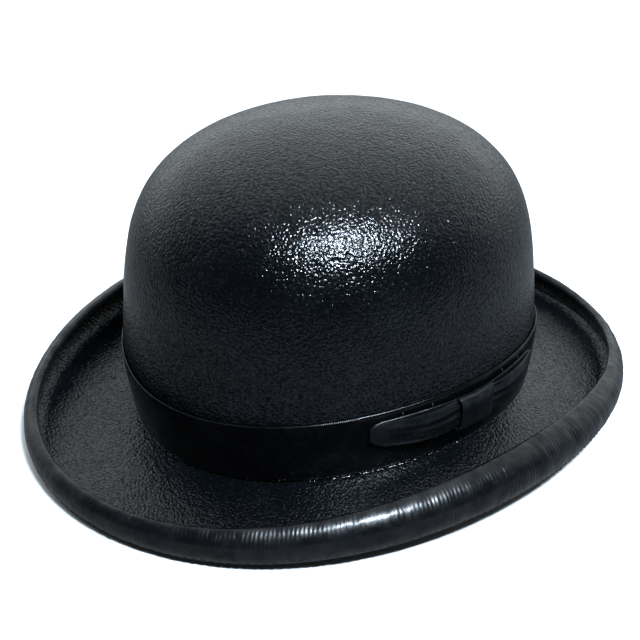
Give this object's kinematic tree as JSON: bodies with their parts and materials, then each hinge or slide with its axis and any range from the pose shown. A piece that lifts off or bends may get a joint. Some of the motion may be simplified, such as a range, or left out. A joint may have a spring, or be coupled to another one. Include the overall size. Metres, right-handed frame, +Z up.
{
  "type": "bowler hat",
  "caption": "Hard felt hat with a round domed crown, a curled and bound oval brim, a ribbon band with a flat side bow, and a lined inside with a leather sweatband.",
  "frame": {"origin": "on the surface the hat rests on, under the middle of the brim's length and width", "axes": "+Z up through the crown, -Y towards the front, +X towards the wearer's left, where the bow is"},
  "size_m": [0.2582, 0.307, 0.1403],
  "materials": {
    "lacquered_felt": "coarse stiff felt under worn black gloss lacquer",
    "edge_ribbon": "ribbed grosgrain under gloss lacquer",
    "band_ribbon": "smooth fine-ribbed ribbon under gloss lacquer",
    "bow_ribbon": "fine-ribbed ribbon, satin",
    "thread": "twisted thread, matte",
    "satin_lining": "satin weave",
    "piping": "covered cord, satin",
    "clear_film": "clear gloss film",
    "sweatband_leather": "smooth tan leather, worn satin",
    "reed_plastic": "matte",
    "tape": "plain woven tape",
    "inner_ribbon": "narrow satin ribbon",
    "card": "blank uncoated card"
  },
  "bodies": {
    "root": {"felt_body": "lacquered_felt", "brim_binding": "edge_ribbon", "binding_thread": "thread", "hat_band": "band_ribbon", "bow_backing": "band_ribbon", "bow_front_loop": "bow_ribbon", "bow_rear_loop": "bow_ribbon", "bow_knot": "bow_ribbon", "bow_tacks": "thread", "lining_side": "satin_lining", "lining_tip": "satin_lining", "lining_piping": "piping", "tip_shield": "clear_film", "sweatband": "sweatband_leather", "sweatband_reed": "reed_plastic", "reed_tape": "tape", "sweatband_thread": "thread", "sweatband_back_seam": "thread", "inner_ribbon_loops": "inner_ribbon", "inner_ribbon_knot": "inner_ribbon", "lining_tacks": "thread", "size_tab": "card"}
  },
  "joints": []
}
